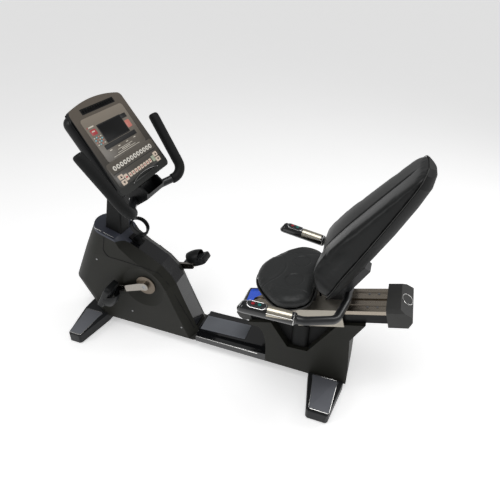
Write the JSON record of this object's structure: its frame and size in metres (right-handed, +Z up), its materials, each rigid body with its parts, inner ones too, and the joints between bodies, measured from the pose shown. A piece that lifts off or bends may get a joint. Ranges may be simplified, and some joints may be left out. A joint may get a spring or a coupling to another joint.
{
  "type": "recumbent exercise bike",
  "caption": "Recumbent exercise bike with a tilted console on a mast, pedal cranks, and a padded seat with backrest sliding on an inclined rail.",
  "frame": {"origin": "on the floor under the middle of the bike's length and width", "axes": "+X from the console to the seat rail's end, -Y the rider's left, +Z up"},
  "size_m": [1.668, 0.645, 1.1999],
  "materials": {
    "frame_paint": "satin powder coat",
    "bearing_steel": "ground steel",
    "foot_plastic": "fine texture",
    "tread_grey": "textured",
    "housing_plastic": "fine texture",
    "gloss_black": "polished",
    "blue_grey": "satin",
    "step_grey": "fine texture",
    "rail_aluminium": "anodised",
    "trim_black": "satin",
    "cap_grey": "textured",
    "console_taupe": "metallic paint",
    "display_glass": "clear window over a dark screen",
    "key_white": "printed film",
    "bar_black": "satin powder coat",
    "foam_grip": "closed cell foam",
    "pulley_plastic": "moulded",
    "disc_bronze": "turned",
    "crank_chrome": "plated",
    "pedal_black": "moulded",
    "flywheel_iron": "turned",
    "belt_rubber": "ribbed",
    "carriage_silver": "satin paint",
    "roller_plastic": "smooth",
    "vinyl_black": "grained vinyl",
    "pulse_steel": "satin",
    "grip_gloss": "moulded",
    "button_red": "moulded",
    "button_teal": "moulded",
    "lever_blue": "moulded",
    "shoe_rubber": "moulded",
    "foot_rubber": "moulded"
  },
  "bodies": {
    "frame": {"base_frame": "frame_paint", "crank_bearings": "bearing_steel", "front_foot_cover": "foot_plastic", "rear_foot_cover": "foot_plastic", "foot_treads": "tread_grey", "housing_left": "housing_plastic", "housing_right": "housing_plastic", "spine_cover": "gloss_black", "mast_collar": "blue_grey", "mast_cover": "housing_plastic", "beam_cover": "gloss_black", "step_tread_plate": "step_grey", "seat_rail": "rail_aluminium", "rail_side_trims": "trim_black", "rail_rear_cap": "cap_grey", "rail_front_cap": "cap_grey", "rear_body_left": "housing_plastic", "rear_body_right": "housing_plastic", "seat_post_cover": "blue_grey", "console_face": "console_taupe", "display_window": "display_glass", "fan_grille": "trim_black", "console_back": "trim_black", "membrane_keys": "key_white", "accessory_tray": "trim_black", "horn_bar": "bar_black", "horn_grips": "foam_grip", "bottle_holder": "trim_black", "drive_belt": "belt_rubber", "cover_screws": "bearing_steel"},
    "crank": {"crank_axle": "bearing_steel", "drive_pulley": "pulley_plastic", "crank_discs": "disc_bronze", "crank_arms": "crank_chrome"},
    "pedal_left": {"pedal_left": "pedal_black"},
    "pedal_right": {"pedal_right": "pedal_black"},
    "flywheel": {"flywheel": "flywheel_iron"},
    "seat": {"seat_carriage": "carriage_silver", "seat_frame": "frame_paint", "seat_tray": "trim_black", "seat_cushion": "vinyl_black", "backrest_cushion": "vinyl_black", "backrest_shell": "trim_black", "side_handlebar": "bar_black", "grip_housings": "grip_gloss", "pulse_plates": "pulse_steel"},
    "front_rollers": {"front_rollers": "roller_plastic"},
    "rear_rollers": {"rear_rollers": "roller_plastic"},
    "seat_lever": {"seat_lever": "lever_blue"},
    "brake_shoe": {"brake_shoe": "shoe_rubber"},
    "fan_impeller": {"fan_impeller": "trim_black"},
    "transport_wheels": {"transport_wheels": "roller_plastic"},
    "button_red_left": {"button_red_left": "button_red"},
    "button_red_right": {"button_red_right": "button_red"},
    "button_green_left": {"button_green_left": "button_teal"},
    "button_green_right": {"button_green_right": "button_teal"},
    "levelling_foot_front_left": {"levelling_foot_front_left": "foot_rubber"},
    "levelling_foot_front_right": {"levelling_foot_front_right": "foot_rubber"},
    "levelling_foot_rear_left": {"levelling_foot_rear_left": "foot_rubber"},
    "levelling_foot_rear_right": {"levelling_foot_rear_right": "foot_rubber"}
  },
  "joints": [
    {"name": "crank_spin", "type": "hinge", "parent": "frame", "child": "crank", "pos_m": [-0.391, 0, 0.313], "axis": [0, 1, 0], "continuous": true},
    {"name": "pedal_left_spin", "type": "hinge", "parent": "crank", "child": "pedal_left", "pos_m": [-0.55664, -0.15, 0.27476], "axis": [0, 1, 0], "continuous": true},
    {"name": "pedal_right_spin", "type": "hinge", "parent": "crank", "child": "pedal_right", "pos_m": [-0.22536, 0.15, 0.35124], "axis": [0, 1, 0], "continuous": true},
    {"name": "flywheel_spin", "type": "hinge", "parent": "frame", "child": "flywheel", "pos_m": [-0.705, 0, 0.232], "axis": [0, 1, 0], "continuous": true},
    {"name": "seat_slide", "type": "slide", "parent": "frame", "child": "seat", "axis": [0.9578, 0, 0.2874], "range_m": [-0.19, 0.095]},
    {"name": "front_roller_spin", "type": "hinge", "parent": "seat", "child": "front_rollers", "pos_m": [0.39224, 0, 0.4144], "axis": [0, 1, 0], "continuous": true},
    {"name": "rear_roller_spin", "type": "hinge", "parent": "seat", "child": "rear_rollers", "pos_m": [0.53783, 0, 0.45807], "axis": [0, 1, 0], "continuous": true},
    {"name": "lever_lift", "type": "hinge", "parent": "seat", "child": "seat_lever", "pos_m": [0.268, -0.053, 0.462], "axis": [0, 1, 0], "range_deg": [0, 15], "stiffness_Nm_per_rad": 0.8, "springref_deg": -22.92},
    {"name": "shoe_lift", "type": "slide", "parent": "seat", "child": "brake_shoe", "axis": [-0.2874, 0, 0.9578], "range_m": [0, 0.004]},
    {"name": "fan_spin", "type": "hinge", "parent": "frame", "child": "fan_impeller", "pos_m": [-0.55812, 0, 1.11742], "axis": [0.829, 0, 0.5592], "continuous": true},
    {"name": "transport_wheel_spin", "type": "hinge", "parent": "frame", "child": "transport_wheels", "pos_m": [-0.76, 0, 0.022], "axis": [0, 1, 0], "continuous": true},
    {"name": "press_button_red_left", "type": "slide", "parent": "seat", "child": "button_red_left", "axis": [0, 0, -1], "range_m": [0, 0.0025], "stiffness_N_per_m": 400, "springref_m": -0.001},
    {"name": "press_button_red_right", "type": "slide", "parent": "seat", "child": "button_red_right", "axis": [0, 0, -1], "range_m": [0, 0.0025], "stiffness_N_per_m": 400, "springref_m": -0.001},
    {"name": "press_button_green_left", "type": "slide", "parent": "seat", "child": "button_green_left", "axis": [0, 0, -1], "range_m": [0, 0.0025], "stiffness_N_per_m": 400, "springref_m": -0.001},
    {"name": "press_button_green_right", "type": "slide", "parent": "seat", "child": "button_green_right", "axis": [0, 0, -1], "range_m": [0, 0.0025], "stiffness_N_per_m": 400, "springref_m": -0.001},
    {"name": "screw_foot_front_left", "type": "slide", "parent": "frame", "child": "levelling_foot_front_left", "axis": [0, 0, -1], "range_m": [0, 0.01]},
    {"name": "screw_foot_front_right", "type": "slide", "parent": "frame", "child": "levelling_foot_front_right", "axis": [0, 0, -1], "range_m": [0, 0.01]},
    {"name": "screw_foot_rear_left", "type": "slide", "parent": "frame", "child": "levelling_foot_rear_left", "axis": [0, 0, -1], "range_m": [0, 0.01]},
    {"name": "screw_foot_rear_right", "type": "slide", "parent": "frame", "child": "levelling_foot_rear_right", "axis": [0, 0, -1], "range_m": [0, 0.01]}
  ],
  "couplings": [
    {"joint": "crank_spin", "follows": "flywheel_spin", "ratio": 0.24762},
    {"joint": "front_roller_spin", "follows": "seat_slide", "rad_per_m": 111.11},
    {"joint": "rear_roller_spin", "follows": "seat_slide", "rad_per_m": 111.11},
    {"joint": "shoe_lift", "follows": "lever_lift", "m_per_rad": 0.015279}
  ]
}
